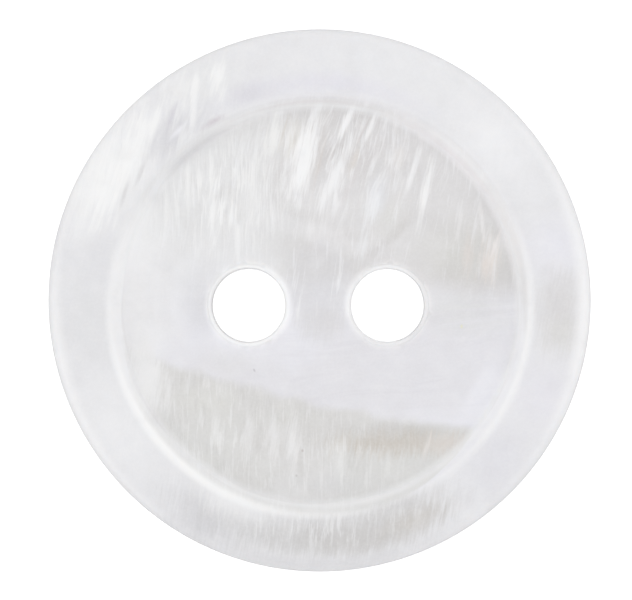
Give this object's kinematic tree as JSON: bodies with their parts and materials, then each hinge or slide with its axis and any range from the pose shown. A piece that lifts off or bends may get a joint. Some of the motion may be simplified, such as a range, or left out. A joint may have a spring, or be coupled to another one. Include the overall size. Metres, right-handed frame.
{
  "type": "sew on button",
  "caption": "Round sew-on garment button with a raised rounded rim, a shallow dish and thread holes through its floor.",
  "frame": {"origin": "centre of the back land, the flat that rests on the cloth, on the button's turning axis", "axes": "+Z out of the face along the turning axis, +X from the left thread hole to the right one, +Y towards the top of the face as it is sewn on a shirt front"},
  "size_m": [0.0152, 0.0152, 0.0024],
  "materials": {
    "nacre": "gloss"
  },
  "bodies": {
    "root": {"button": "nacre"}
  },
  "joints": []
}
